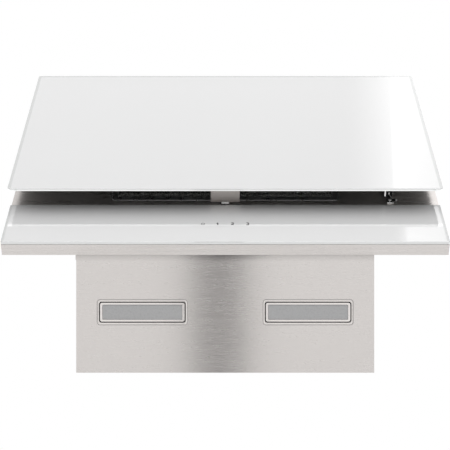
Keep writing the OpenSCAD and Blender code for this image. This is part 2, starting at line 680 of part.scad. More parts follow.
// Elbow bolt with its domed head and nut, fixed in the lower link
module stay_elbow_pin() color(C_STEEL) lower_link_motion() {
    xcyl(stay_x + 1.2, stay_x + 10, elb_s, hinge_n, 2.0);
    xcyl(stay_x + 1.2, stay_x + 1.55, elb_s, hinge_n, 3.4);
    xcyl(stay_x + 4.85, stay_x + 6.75, elb_s, hinge_n, 3.1);
    xcyl(stay_x + 10, stay_x + 10.7, elb_s, hinge_n, 3.2);
}

module flap_glass() color(C_WHITE) flap_motion()
    translate([0, flap_s + flap_h / 2, flap_gap]) linear_extrude(height = glass_t) rrect(hood_w, flap_h, flap_r);

module screws() color(C_STEEL) {
    slab() for (i = [-1, 1], j = [-1, 1]) translate([i * 200 + j * 10, 390, tray_n + 1.5]) screw(2, 7);
    for (i = [-1, 1], z = [-120, -10, 120]) translate([i * body_w / 2, -12, z]) rotate([0, i * 90, 0]) screw(1.5, 6);
    for (a = [45 : 90 : 315]) translate([80 * cos(a), duct_y + 80 * sin(a), top_z + 2.5]) screw(1.5, 8);
}

// ---- assembly --------------------------------------------------------------

tray_shell();
lower_trim();
tray_back_plate();
filter_seat();
control_glass();
glass_bond_strips();
touch_board();
touch_sensor_pads();
body_shell();
back_panel();
top_panel();
outlet_collar();
damper_pin();
nonreturn_flap_front();
nonreturn_flap_rear();
scroll_half_left();
scroll_half_right();
inlet_rings();
impeller();
motor_shaft();
motor();
motor_spider();
capacitor();
capacitor_clip();
control_box();
control_box_lid();
power_board();
terminal_block();
led_driver();
cable_gland();
wiring_harness();
hanger_brackets();
hanger_screws();
lamp_bezel_left();
lamp_bezel_right();
lamp_lens_left();
lamp_lens_right();
led_boards();
lamp_housings();
filter_frame();
filter_mesh();
filter_latch();
filter_latch_spring();
hinge_bases();
hinge_pins();
catch_housing();
catch_spring();
catch_plunger();
stay_bracket();
stay_rest();
flap_glass();
hinge_leaves();
catch_bracket();
stay_rail();
stay_lower_link();
stay_upper_link();
stay_tray_pin();
stay_flap_pin();
stay_elbow_pin();
screws();
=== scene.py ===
import json
import math
import random

import bmesh
import bpy
from mathutils import Matrix, Vector


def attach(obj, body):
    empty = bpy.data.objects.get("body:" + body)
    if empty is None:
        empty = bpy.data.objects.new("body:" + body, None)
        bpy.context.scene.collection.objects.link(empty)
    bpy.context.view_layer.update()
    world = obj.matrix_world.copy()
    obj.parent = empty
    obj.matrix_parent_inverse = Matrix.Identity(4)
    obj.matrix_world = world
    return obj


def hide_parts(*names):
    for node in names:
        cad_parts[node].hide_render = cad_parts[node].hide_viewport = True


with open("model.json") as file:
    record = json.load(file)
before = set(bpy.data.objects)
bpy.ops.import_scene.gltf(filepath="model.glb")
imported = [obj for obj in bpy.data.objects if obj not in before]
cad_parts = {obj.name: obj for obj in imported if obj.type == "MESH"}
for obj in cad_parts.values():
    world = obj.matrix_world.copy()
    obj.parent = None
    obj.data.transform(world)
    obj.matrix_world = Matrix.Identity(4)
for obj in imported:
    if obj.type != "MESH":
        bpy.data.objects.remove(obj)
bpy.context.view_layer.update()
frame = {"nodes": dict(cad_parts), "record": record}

scene = bpy.context.scene
nodes = frame["nodes"]
record = frame["record"]
body_of = {n: b for b, members in record["behaviour"]["bodies"].items() for n in members}
slot_of = {}
for m in record["subparts"]:
    slot_of[m["node"]] = m["material_slot"]

# ---------------------------------------------------------------------------
# Slope coordinates: x across, s up the slope, n outward, in millimetres
# ---------------------------------------------------------------------------
TILT = math.radians(34.2)
SA, CA = math.sin(TILT), math.cos(TILT)
B0Y = -157.6 - 21.5 * CA
B0Z = -150 - 21.5 * SA


def slope(x, s, n):
    return Vector((x, B0Y - SA * s - CA * n, B0Z + CA * s - SA * n)) / 1000


def plain(x, y, z):
    return Vector((x, y, z)) / 1000


# ---------------------------------------------------------------------------
# Camera: straight below, looking up, the room side at the top of the picture
# ---------------------------------------------------------------------------
cam_data = bpy.data.cameras.new("camera")
cam_data.sensor_width = 36
cam_data.lens = 94.735
camera = bpy.data.objects.new("camera", cam_data)
camera.location = (-0.0003, -0.19781, -1.73542)
camera.rotation_euler = (math.pi, 0, 0)
cam_data.clip_start = 0.05
cam_data.clip_end = 100
scene.collection.objects.link(camera)
scene.camera = camera
scene.view_settings.view_transform = "Standard"
scene.view_settings.look = "None"


# ---------------------------------------------------------------------------
# Materials
# ---------------------------------------------------------------------------
class Tree:
    """Short names for building one material's nodes."""

    def __init__(self, name):
        self.material = bpy.data.materials.new(name)
        self.material.use_nodes = True
        self.tree = self.material.node_tree
        self.shader = self.tree.nodes["Principled BSDF"]
        self.coord = self.tree.nodes.new("ShaderNodeTexCoord")

    def node(self, kind, **settings):
        n = self.tree.nodes.new("ShaderNode" + kind)
        for k, v in settings.items():
            setattr(n, k, v)
        return n

    def link(self, a, b):
        self.tree.links.new(a, b)

    def set(self, **values):
        for k, v in values.items():
            self.shader.inputs[k.replace("_", " ")].default_value = v

    def point(self, scale=(1, 1, 1), rotation=(0, 0, 0)):
        m = self.node("Mapping")
        m.inputs["Scale"].default_value = scale
        m.inputs["Rotation"].default_value = rotation
        self.link(self.coord.outputs["Object"], m.inputs["Vector"])
        return m.outputs["Vector"]

    def noise(self, vector, scale, detail=3.0, rough=0.5):
        n = self.node("TexNoise")
        n.inputs["Scale"].default_value = scale
        n.inputs["Detail"].default_value = detail
        n.inputs["Roughness"].default_value = rough
        self.link(vector, n.inputs["Vector"])
        return n.outputs["Fac"]

    def ramp(self, fac, stops):
        r = self.node("ValToRGB")
        while len(r.color_ramp.elements) < len(stops):
            r.color_ramp.elements.new(0.5)
        for e, (at, colour) in zip(r.color_ramp.elements, stops):
            e.position = at
            e.color = (*colour, 1) if len(colour) == 3 else colour
        self.link(fac, r.inputs["Fac"])
        return r.outputs["Color"]

    def spread(self, fac, low, high, start=0.3, end=0.7):
        r = self.node("MapRange")
        r.inputs["From Min"].default_value = start
        r.inputs["From Max"].default_value = end
        r.inputs["To Min"].default_value = low
        r.inputs["To Max"].default_value = high
        self.link(fac, r.inputs["Value"])
        return r.outputs["Result"]

    def math(self, operation, a, b=None):
        n = self.node("Math", operation=operation)
        for i, v in enumerate((a, b)):
            if v is None:
                continue
            if isinstance(v, (int, float)):
                n.inputs[i].default_value = v
            else:
                self.link(v, n.inputs[i])
        return n.outputs[0]

    def vector(self, operation, a, b):
        n = self.node("VectorMath", operation=operation)
        for i, v in enumerate((a, b)):
            if isinstance(v, tuple):
                n.inputs[i].default_value = v
            else:
                self.link(v, n.inputs[i])
        return n.outputs["Value" if operation == "DOT_PRODUCT" else "Vector"]

    def mix(self, fac, a, b, blend="MIX"):
        n = self.node("Mix", data_type="RGBA", blend_type=blend)
        for key, v in ((0, fac), (6, a), (7, b)):
            if isinstance(v, (int, float)):
                n.inputs[key].default_value = v
            elif isinstance(v, tuple):
                n.inputs[key].default_value = (*v, 1)
            else:
                self.link(v, n.inputs[key])
        return n.outputs[2]

    def bump(self, height, strength, distance, under=None):
        n = self.node("Bump")
        n.inputs["Strength"].default_value = strength
        n.inputs["Distance"].default_value = distance
        self.link(height, n.inputs["Height"])
        if under is not None:
            self.link(under, n.inputs["Normal"])
        return n.outputs["Normal"]

    def out(self, socket, value):
        self.link(value, self.shader.inputs[socket])


def shade(c, k):
    return tuple(min(1.0, v * k) for v in c)


def brushed_steel(name, colour, rough, aniso, grain=1.0, fold_grain_and_shade=False, uneven=1.0):
    """Sheet steel brushed along X; on faces that look sideways the grain runs up and down."""
    t = Tree(name)
    t.set(Metallic=1.0, Anisotropic=aniso)
    along = t.vector("CROSS_PRODUCT", t.coord.outputs["Normal"], (0.013, 1.0, 0.011))
    across = t.vector("CROSS_PRODUCT", t.coord.outputs["Normal"], along)
    u = t.vector("DOT_PRODUCT", t.coord.outputs["Object"], along)
    v = t.vector("DOT_PRODUCT", t.coord.outputs["Object"], across)
    layers = []
    for ku, kv, detail in ((60 if fold_grain_and_shade else 9, 850 if fold_grain_and_shade else 420, 3), (30, 1500, 4), (5, 110, 2)):
        c = t.node("CombineXYZ")
        t.link(t.math("MULTIPLY", u, ku), c.inputs[0])
        t.link(t.math("MULTIPLY", v, kv), c.inputs[1])
        layers.append(t.noise(c.outputs[0], 1.0, detail, 0.6))
    wide, fine, broad = layers
    mixed = t.math("ADD", t.math("MULTIPLY", wide, 0.6), t.math("MULTIPLY", fine, 0.4))
    tone = t.ramp(mixed, [(0.30, shade(colour, 1 - 0.075 * grain)), (0.5, colour), (0.70, shade(colour, 1 + 0.055 * grain))])
    cloud = t.noise(t.coord.outputs["Object"], 6.0, 3.0)
    tone = t.mix(t.spread(cloud, 0.0, 0.35), tone, shade(colour, 0.965))
    if fold_grain_and_shade:
        # painted shade along the folded front edge of the underside, deepest near the middle in x
        xyz = t.node("SeparateXYZ")
        t.link(t.coord.outputs["Object"], xyz.inputs[0])
        fold_painted_shade = t.spread(xyz.outputs[1], 0.85, 0.0, -0.1575, -0.149)
        tone = t.mix(fold_painted_shade, tone, shade(colour, 0.73))
        tone = t.mix(t.math("MULTIPLY", fold_painted_shade, t.spread(t.math("ABSOLUTE", xyz.outputs[0]), 1.0, 0.0, 0.004, 0.065)), tone, shade(colour, 0.42))
    t.out("Base Color", tone)
    lift = t.math("ADD", t.spread(fine, -0.035 * uneven, 0.035 * uneven), t.spread(broad, -0.02 * uneven, 0.02 * uneven))
    if fold_grain_and_shade:
        # short fine brush strokes
        lift = t.math("ADD", lift, t.spread(wide, -0.016, 0.016))
    t.out("Roughness", t.math("ADD", lift, rough))
    t.out("Normal", t.bump(mixed, 0.12 * grain * uneven, 0.00004))
    n = t.node("NewGeometry")
    along_w = t.vector("CROSS_PRODUCT", n.outputs["Normal"], (0.013, 1.0, 0.011))
    t.out("Tangent", t.vector("CROSS_PRODUCT", n.outputs["Normal"], along_w))
    return t.material


def galvanised(name, colour):
    """Zinc coated sheet with its faint crystal pattern."""
    t = Tree(name)
    t.set(Metallic=1.0)
    cells = t.node("TexVoronoi", feature="F1")
    cells.inputs["Scale"].default_value = 170
    t.link(t.coord.outputs["Object"], cells.inputs["Vector"])
    split = t.node("SeparateColor")
    t.link(cells.outputs["Color"], split.inputs[0])
    flake = t.ramp(split.outputs[0], [(0.0, shade(colour, 0.86)), (0.5, colour), (1.0, shade(colour, 1.09))])
    blur = t.noise(t.coord.outputs["Object"], 24, 4)
    t.out("Base Color", t.mix(t.spread(blur, 0.0, 0.5), flake, shade(colour, 0.94)))
    t.out("Roughness", t.math("ADD", t.spread(split.outputs[1], -0.06, 0.08, 0, 1), 0.42))
    t.out("Normal", t.bump(t.noise(t.coord.outputs["Object"], 260, 3), 0.1, 0.0001))
    return t.material


def plated(name, colour, rough=0.25):
    """Bright zinc plated or turned steel."""
    t = Tree(name)
    t.set(Metallic=1.0)
    n = t.noise(t.coord.outputs["Object"], 420, 4)
    t.out("Base Color", t.ramp(n, [(0.3, shade(colour, 0.90)), (0.6, colour), (0.8, shade(colour, 1.06))]))
    t.out("Roughness", t.math("ADD", t.spread(t.noise(t.coord.outputs["Object"], 90, 3), -0.06, 0.10), rough))
    t.out("Normal", t.bump(n, 0.08, 0.0001))
    return t.material


def moulded(name, colour, rough=0.45, grain=900, depth=0.25, size=0.00012, gloss=0.5):
    """Moulded plastic with a fine spark-eroded grain."""
    t = Tree(name)
    t.set(IOR=1.5, Specular_IOR_Level=gloss)
    fine = t.noise(t.coord.outputs["Object"], grain, 2)
    cloud = t.noise(t.coord.outputs["Object"], 14, 4)
    t.out("Base Color", t.ramp(cloud, [(0.3, shade(colour, 0.90)), (0.55, colour), (0.75, shade(colour, 1.10))]))
    t.out("Roughness", t.math("ADD", t.spread(fine, -0.05, 0.07), rough))
    t.out("Normal", t.bump(fine, depth, size))
    return t.material


def white_end(name, colour, painted_glow):
    """White cap with a painted glow: its emission stands in for light."""
    t = Tree(name)
    t.set(IOR=1.5, Emission_Color=(1, 1, 1, 1), Emission_Strength=painted_glow)
    n = t.noise(t.coord.outputs["Object"], 300, 2)
    t.out("Base Color", t.ramp(n, [(0.3, shade(colour, 0.96)), (0.7, colour)]))
    t.out("Roughness", t.spread(n, 0.3, 0.4))
    return t.material


def painted(name, colour, rough=0.38):
    """Powder coated metal with a light orange peel."""
    t = Tree(name)
    t.set(IOR=1.5)
    peel = t.noise(t.coord.outputs["Object"], 620, 2)
    cloud = t.noise(t.coord.outputs["Object"], 20, 3)
    t.out("Base Color", t.ramp(cloud, [(0.3, shade(colour, 0.94)), (0.6, colour), (0.8, shade(colour, 1.05))]))
    t.out("Roughness", t.math("ADD", t.spread(cloud, -0.04, 0.06), rough))
    t.out("Normal", t.bump(peel, 0.2, 0.00008))
    return t.material


def foam(name, colour):
    t = Tree(name)
    cells = t.node("TexVoronoi", feature="F1")
    cells.inputs["Scale"].default_value = 1400
    t.link(t.coord.outputs["Object"], cells.inputs["Vector"])
    t.out("Base Color", t.ramp(cells.outputs["Distance"], [(0.0, shade(colour, 0.5)), (0.5, colour), (1.0, shade(colour, 1.5))]))
    t.out("Roughness", t.spread(t.noise(t.coord.outputs["Object"], 300, 2), 0.85, 0.98))
    t.out("Normal", t.bump(cells.outputs["Distance"], 0.6, 0.0003))
    return t.material


def white_glass(name, colour, rough=0.02, ior=1.62):
    """The front of back-painted glass: clear gloss over an even white."""
    t = Tree(name)
    t.set(IOR=ior)
    cloud = t.noise(t.coord.outputs["Object"], 3.0, 2)
    fleck = t.noise(t.coord.outputs["Object"], 480, 2)
    base = t.ramp(cloud, [(0.3, shade(colour, 0.988)), (0.7, colour)])
    t.out("Base Color", t.mix(t.spread(fleck, 0.0, 0.12), base, shade(colour, 0.97)))
    t.out("Roughness", t.spread(t.noise(t.coord.outputs["Object"], 9.0, 3), rough * 0.7, rough * 1.5))
    t.out("Normal", t.bump(t.noise(t.coord.outputs["Object"], 7.0, 1), 0.03, 0.0004))
    return t.material


def height(t):
    """Height above the control glass in metres, from the object's own coordinates."""
    return t.vector("DOT_PRODUCT", t.vector("SUBTRACT", t.coord.outputs["Object"], (0, B0Y / 1000, B0Z / 1000)), (0, -CA, -SA))


def glass_edge(name, colour, mirror, painted_glow, fade=False, rough=0.04, ior=1.62):
    """Ground or polished edge, a little clearer and greener than the face; polished it mirrors from within. Its
    emission is a painted glow.
    """
    t = Tree(name)
    t.set(IOR=ior, Metallic=mirror, Emission_Color=(1, 1, 1, 1), Emission_Strength=painted_glow)
    n = t.noise(t.point((1, 40, 40)), 30, 3)
    t.out("Base Color", t.ramp(n, [(0.3, shade(colour, 0.95)), (0.7, colour)]))
    t.out("Roughness", t.spread(n, rough * 0.7, rough * 1.4))
    if fade:
        # painted glow: brighter beside the white enamel, fading towards the front
        t.out("Emission Strength", t.spread(height(t), painted_glow, 0.05, 0.0290, 0.0296))
    return t.material


def speckled_painted_glints(name, low, high):
    """Expanded aluminium, mostly dark, with random bright flecks painted in as glints."""
    t = Tree(name)
    t.set(Metallic=1.0)
    n = t.noise(t.coord.outputs["Object"], 900, 1)
    t.out("Base Color", t.ramp(n, [(0.47, low), (0.60, high)]))
    t.out("Roughness", t.spread(t.noise(t.coord.outputs["Object"], 150, 2), 0.42, 0.56))
    return t.material


def back_coat(name, colour):
    """Fired enamel on the inner face of the glass."""
    t = Tree(name)
    t.set(IOR=1.45)
    n = t.noise(t.coord.outputs["Object"], 240, 4)
    t.out("Base Color", t.ramp(n, [(0.3, shade(colour, 0.8)), (0.7, shade(colour, 1.2))]))
    t.out("Roughness", t.spread(t.noise(t.coord.outputs["Object"], 12, 3), 0.42, 0.58))
    t.out("Normal", t.bump(n, 0.15, 0.0001))
    return t.material


def diffuser(name, colour):
    """Frosted lamp cover with a fine prism pattern on its inner side."""
    t = Tree(name)
    t.set(IOR=1.5)
    prisms = t.node("TexVoronoi", feature="SMOOTH_F1")
    prisms.inputs["Scale"].default_value = 520
    t.link(t.coord.outputs["Object"], prisms.inputs["Vector"])
    t.out("Base Color", t.ramp(prisms.outputs["Distance"], [(0.0, shade(colour, 1.05)), (0.45, colour), (0.9, shade(colour, 0.90))]))
    t.out("Roughness", t.spread(t.noise(t.coord.outputs["Object"], 60, 2), 0.48, 0.60))
    t.out("Normal", t.bump(prisms.outputs["Distance"], 0.25, 0.0002))
    return t.material


def laminate(name, colour):
    """Circuit board laminate with lighter copper tracks under the lacquer."""
    t = Tree(name)
    t.set(IOR=1.5)
    tracks = t.node("TexBrick", offset=0.37, squash=1.4)
    tracks.inputs["Scale"].default_value = 90
    tracks.inputs["Mortar Size"].default_value = 0.06
    tracks.inputs["Color1"].default_value = (*shade(colour, 0.85), 1)
    tracks.inputs["Color2"].default_value = (*colour, 1)
    tracks.inputs["Mortar"].default_value = (*shade(colour, 1.7), 1)
    t.link(t.point((1, 1, 1), (0.6, 0, 0)), tracks.inputs["Vector"])
    t.out("Base Color", tracks.outputs["Color"])
    t.out("Roughness", t.spread(t.noise(t.coord.outputs["Object"], 200, 2), 0.28, 0.42))
    return t.material


def ink(name, colour):
    t = Tree(name)
    n = t.noise(t.coord.outputs["Object"], 700, 2)
    t.out("Base Color", t.ramp(n, [(0.3, shade(colour, 0.8)), (0.7, shade(colour, 1.2))]))
    t.out("Roughness", t.spread(n, 0.25, 0.4))
    return t.material


STEEL = (0.715, 0.682, 0.662)
M = {
    "stainless": brushed_steel("stainless", STEEL, 0.26, 0.99),
    "stainless_body": brushed_steel("stainless_body", shade(STEEL, 1.01), 0.26, 0.99, 0.45, True, 0.35),
    # painted highlight: a lighter copy of the steel for the lower trim
    "stainless_trim": brushed_steel("stainless_trim", shade(STEEL, 1.06), 0.26, 0.99),
    "stainless_tray": brushed_steel("stainless_tray", shade(STEEL, 1.04), 0.30, 0.88, 0.25),
    "stainless_warm": brushed_steel("stainless_warm", (0.60, 0.558, 0.534), 0.36, 0.6, 0.6),
    # painted highlight and painted shade: lighter and darker copies of the steel for the pressed step round the lamps
    "press_inner": brushed_steel("press_inner", shade(STEEL, 1.20), 0.20, 0.9, 0.4),
    "press_outer": brushed_steel("press_outer", shade(STEEL, 0.66), 0.30, 0.9, 0.4),
    # painted highlight: a lighter copy of the steel for the lamp bezels
    "stainless_bezel": brushed_steel("stainless_bezel", shade(STEEL, 1.18), 0.20, 0.9, 0.5),
    "stainless_inner": brushed_steel("stainless_inner", (0.66, 0.64, 0.62), 0.30, 0.80, 0.8),
    "galvanised": galvanised("galvanised", (0.56, 0.58, 0.59)),
    "white_glass": white_glass("white_glass", (0.786, 0.786, 0.787)),
    "control_white": white_glass("control_white", (0.781, 0.781, 0.782), 0.006, 2.0),
    # painted glow: the glass edges and arris emit light, standing in for their bright look
    "glass_edge": glass_edge("glass_edge", (0.95, 0.96, 0.955), 0.9, 0.30, True),
    "glass_edge_low": glass_edge("glass_edge_low", (0.93, 0.94, 0.935), 0.9, 0.0),
    "glass_arris": glass_edge("glass_arris", (0.92, 0.93, 0.925), 0.0, 0.20),
    "glass_border": glass_edge("glass_border", (0.685, 0.695, 0.69), 0.0, 0.0, False, 0.12, 1.5),
    "glass_rim": white_glass("glass_rim", (0.760, 0.762, 0.764), 0.06, 1.5),
    "back_coat": back_coat("back_coat", (0.042, 0.041, 0.040)),
    "black_foam": foam("black_foam", (0.03, 0.03, 0.03)),
    "circuit_board": laminate("circuit_board", (0.03, 0.20, 0.09)),
    "sensor_foam": foam("sensor_foam", (0.16, 0.16, 0.17)),
    "black_plastic": moulded("black_plastic", (0.022, 0.022, 0.024), 0.42),
    "grey_plastic": moulded("grey_plastic", (0.16, 0.16, 0.165), 0.45),
    "white_plastic": moulded("white_plastic", (0.74, 0.74, 0.72), 0.35, 700, 0.12),
    "zinc_steel": plated("zinc_steel", (0.72, 0.72, 0.71), 0.24),
    "lamp_diffuser": diffuser("lamp_diffuser", (0.765, 0.765, 0.77)),
    # painted shade: a darker copy of the steel for the trim's upper and rear faces
    "stainless_shade": brushed_steel("stainless_shade", shade(STEEL, 0.5), 0.30, 0.9),
    "satin_white": plated("satin_white", (0.93, 0.93, 0.925), 0.45),
    # painted glow on the roller, standing in for its highlight
    "roller_white": white_end("roller_white", (0.92, 0.91, 0.89), 0.12),
    "clip_dull": plated("clip_dull", (0.30, 0.30, 0.295), 0.40),
    # painted glints: random bright flecks on the dark mesh
    "mesh_bright": speckled_painted_glints("mesh_bright", (0.086, 0.086, 0.081), (0.62, 0.62, 0.60)),
    "black_link": moulded("black_link", (0.008, 0.008, 0.009), 0.6, 700, 0.2, 0.00012, 0.18),
    "white_end": white_end("white_end", (0.90, 0.90, 0.89), 0.42),
    "filter_aluminium": plated("filter_aluminium", (0.66, 0.66, 0.665), 0.30),
    "black_paint": painted("black_paint", (0.022, 0.022, 0.024), 0.40),
    "white_paint": painted("white_paint", (0.80, 0.80, 0.795), 0.32),
    "cable_pvc": moulded("cable_pvc", (0.025, 0.025, 0.027), 0.5, 500, 0.2),
    "ink": ink("ink", (0.018, 0.018, 0.019)),
    "ink_faint": ink("ink_faint", (0.035, 0.035, 0.037)),
}


# ---------------------------------------------------------------------------
# Mesh helpers
# ---------------------------------------------------------------------------
def add(name, verts, faces, body, materials, index=None, sharp=35, replaces=()):
    me = bpy.data.meshes.new(name)
    me.from_pydata([tuple(v) for v in verts], [], faces)
    for m in materials:
        me.materials.append(m)
    if index:
        me.polygons.foreach_set("material_index", index)
    me.polygons.foreach_set("use_smooth", [True] * len(me.polygons))
    me.update()
    me.set_sharp_from_angle(angle=math.radians(sharp))
    o = bpy.data.objects.new(name, me)
    scene.collection.objects.link(o)
    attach(o, body)
    if replaces:
        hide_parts(*replaces)
    return o


def rounded(w, h, r, k=6, cx=0.0, cy=0.0):
    """Outline of a rectangle with round corners, counter-clockwise."""
    r = max(r, 0.01)
    pts = []
    for i, (sx, sy) in enumerate(((1, 1), (-1, 1), (-1, -1), (1, -1))):
        for j in range(k + 1):
            a = math.pi / 2 * (i + j / k)
            pts.append((cx + sx * (w / 2 - r) + r * math.cos(a), cy + sy * (h / 2 - r) + r * math.sin(a)))
    return pts


def loft(rings, place, cap_first=True, cap_last=True, closed=False):
    """Rings of (a, b, c) points with equal counts, joined by quads. Returns vertices, faces and each face's ring."""
    k = len(rings[0])
    verts = [place(*p) for ring in rings for p in ring]
    faces, which = [], []
    pairs = [(i, i + 1) for i in range(len(rings) - 1)]
    if closed:
        pairs.append((len(rings) - 1, 0))
    for i, i2 in pairs:
        for j in range(k):
            j2 = (j + 1) % k
            faces.append((i * k + j, i * k + j2, i2 * k + j2, i2 * k + j))
            which.append(i)
    if cap_first and not closed:
        faces.append(tuple(range(k - 1, -1, -1)))
        which.append(-1)
    if cap_last and not closed:
        faces.append(tuple((len(rings) - 1) * k + j for j in range(k)))
        which.append(len(rings))
    return verts, faces, which


def outward(verts, faces):
    """Turns all faces outward."""
    bm = bmesh.new()
    vs = [bm.verts.new(v) for v in verts]
    for f in faces:
        bm.faces.new([vs[i] for i in f])
    bmesh.ops.recalc_face_normals(bm, faces=bm.faces)
    bm.verts.index_update()
    out = [tuple(v.index for v in f.verts) for f in bm.faces]
    bm.free()
    return out


def edge_profile(n0, n1, r, rb, k=5):
    """(inset, n) pairs of a plate's edge with both arrises rounded, from back to front."""
    pts = [(rb * (1 - math.sin(math.pi / 2 * j / k)), n0 + rb * (1 - math.cos(math.pi / 2 * j / k))) for j in range(k + 1)]
    pts += [(r * (1 - math.cos(math.pi / 2 * j / k)), n1 - r * (1 - math.sin(math.pi / 2 * j / k))) for j in range(k + 1)]
    return pts


def glass_plate(name, w, s0, s1, n0, n1, corner, arris, back_arris, border, rim, body, mats, replaces):
    """A sheet of glass: mats are front, polished edge, lower arris, back, ground border and rim of the other edges."""
    rings = []
    for inset, n in edge_profile(n0, n1, arris, back_arris) + [(border, n1), (rim, n1)]:
        rings.append([(x, s, n) for x, s in rounded(w - 2 * inset, s1 - s0 - 2 * inset, max(corner - inset, 0.4), 8, 0, (s0 + s1) / 2)])
    verts, faces, which = loft(rings, slope)
    last = len(rings)
    index = []
    for f, i in enumerate(which):
        low = f % 36 == 26
        if i in (-1, last):
            index.append(3 if i == -1 else 0)
        elif i < 6:
            index.append(1)
        elif low:
            index.append(2 if i < 11 else 0)
        else:
            index.append(5 if i == last - 1 else 4)
    faces = outward(verts, faces)
    o = add(name, verts, faces, body, mats, index, 50, replaces)
    flat = o.modifiers.new("normals", "WEIGHTED_NORMAL")
    flat.mode = "FACE_AREA"
    flat.weight = 100
    flat.keep_sharp = True
    return o


# ---------------------------------------------------------------------------
# The two glass panels
# ---------------------------------------------------------------------------
flap = glass_plate("flap_glass_panel", 598, 82, 419.2, 27.7, 31.7, 4, 0.4, 0.15, 1.15, 4.4, "flap",
                   [M["white_glass"], M["glass_edge"], M["glass_arris"], M["back_coat"], M["glass_border"], M["glass_rim"]], ["flap_glass"])
control = glass_plate("control_glass_panel", 598, 0, 89.8, -4, 0, 1.6, 0.7, 0.25, 1.2, 3.6, "hood",
                      [M["control_white"], M["glass_edge_low"], M["glass_edge_low"], M["back_coat"], M["glass_border"], M["glass_rim"]], ["control_glass"])


# ---------------------------------------------------------------------------
# Touch marks: a power sign and the numbers 1, 2, 3, printed flat
# ---------------------------------------------------------------------------
def flat_marks(name, polys, x0, s0, material, n=0.012):
    verts, faces = [], []
    for poly in polys:
        base = len(verts)
        verts += [slope(x0 + x, s0 + y, n) for x, y in poly]
        faces.append(tuple(range(base, base + len(poly))))
    return add(name, verts, faces, "hood", [material], None, 60, ())


def bar(x0, y0, x1, y1, w):
    dx, dy = x1 - x0, y1 - y0
    l = math.hypot(dx, dy)
    px, py = -dy / l * w / 2, dx / l * w / 2
    return [(x0 - px, y0 - py), (x1 - px, y1 - py), (x1 + px, y1 + py), (x0 + px, y0 + py)]


def arc(cx, cy, r, a0, a1, w, k=16):
    out = []
    for i in range(k):
        t0, t1 = (math.radians(a0 + (a1 - a0) * j / k) for j in (i, i + 1))
        out.append([(cx + (r - w / 2) * math.cos(t0), cy + (r - w / 2) * math.sin(t0)), (cx + (r + w / 2) * math.cos(t0), cy + (r + w / 2) * math.sin(t0)),
                    (cx + (r + w / 2) * math.cos(t1), cy + (r + w / 2) * math.sin(t1)), (cx + (r - w / 2) * math.cos(t1), cy + (r - w / 2) * math.sin(t1))])
    return out


flat_marks("touch_mark_power", arc(0, -0.2, 2.2, 125, 415, 0.75, 24) + [bar(0, 0.2, 0, 2.7, 0.9)], -30.3, 42.8, M["ink_faint"])
flat_marks("touch_mark_one", [bar(0.3, -2.7, 0.3, 2.7, 1.5), bar(0.2, 2.3, -1.5, 1.1, 1.2)], -10.4, 42.8, M["ink"])
flat_marks("touch_mark_two", arc(0, 1.15, 1.5, 165, -35, 1.3, 14) + [bar(1.1, 0.25, -1.75, -2.1, 1.3), bar(-1.9, -2.1, 1.9, -2.1, 1.2)], 9.8, 42.8, M["ink"])
flat_marks("touch_mark_three", arc(0, 1.3, 1.4, 160, -90, 1.3, 16) + arc(0, -1.25, 1.5, 90, -160, 1.3, 16), 30.3, 42.8, M["ink"])


# ---------------------------------------------------------------------------
# Grease filter: rolled frame and layers of expanded aluminium mesh
# ---------------------------------------------------------------------------
def expanded_mesh(name, x0, x1, s0, s1, n, pitch_x, pitch_s, strand, thick, tilt, seed, keep_out=None):
    """Expanded metal: zigzag strands that meet their neighbours at each knot."""
    rnd = random.Random(seed)
    verts, faces = [], []
    step = pitch_s / 2
    rows = int((s1 - s0) / step)
    cols = int((x1 - x0) / pitch_x)
    for j in range(rows):
        mid = s0 + step * (j + 0.5)
        line = []
        for i in range(cols):
            for part, (f, side) in enumerate(((0.06, 1), (0.30, 1), (0.56, -1), (0.80, -1))):
                sgn = side if j % 2 == 0 else -side
                x = x0 + pitch_x * (i + f)
                s = mid + sgn * (step / 2 - strand * 0.15) + rnd.uniform(-0.05, 0.05)
                line.append((x, s, n + sgn * tilt + rnd.uniform(-0.04, 0.04)))
        run = []
        for x, s, h in line:
            if keep_out and keep_out(x, s):
                if len(run) > 1:
                    strand_mesh(run, strand, thick, verts, faces, rnd)
                run = []
            else:
                run.append((x, s, h))
        if len(run) > 1:
            strand_mesh(run, strand, thick, verts, faces, rnd)
    verts = [slope(*p) for p in verts]
    return add(name, verts, faces, "hood", [M["mesh_bright"]], None, 20, ())


def strand_mesh(run, w, t, verts, faces, rnd):
    base = len(verts)
    turn = rnd.uniform(0.45, 1.2)
    for x, s, h in run:
        a = turn + rnd.uniform(-0.35, 0.35)
        c, d = math.cos(a), math.sin(a)
        for p, q in ((-w / 2, -t / 2), (w / 2, -t / 2), (w / 2, t / 2), (-w / 2, t / 2)):
            verts.append((x, s + c * p - d * q, h + d * p + c * q))
    for i in range(len(run) - 1):
        a, b = base + 4 * i, base + 4 * (i + 1)
        for k in range(4):
            k2 = (k + 1) % 4
            faces.append((a + k, b + k, b + k2, a + k2))
    e = base + 4 * (len(run) - 1)
    faces.append((base, base + 1, base + 2, base + 3))
    faces.append((e + 3, e + 2, e + 1, e))


def pocket(x, s):
    return abs(x) < 20.8 and s < 139.4


front_mesh = expanded_mesh("filter_mesh_front", -157, 157, 110, 366, -6.2, 7.6, 3.9, 0.75, 0.42, 0.28, 3, pocket)
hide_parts("filter_mesh")
expanded_mesh("filter_mesh_middle", -157, 157, 110, 366, -8.9, 11.0, 5.4, 0.9, 0.45, 0.45, 5, pocket)
expanded_mesh("filter_mesh_back", -157, 157, 110, 366, -13.6, 7.6, 3.9, 0.75, 0.42, -0.28, 7, pocket)


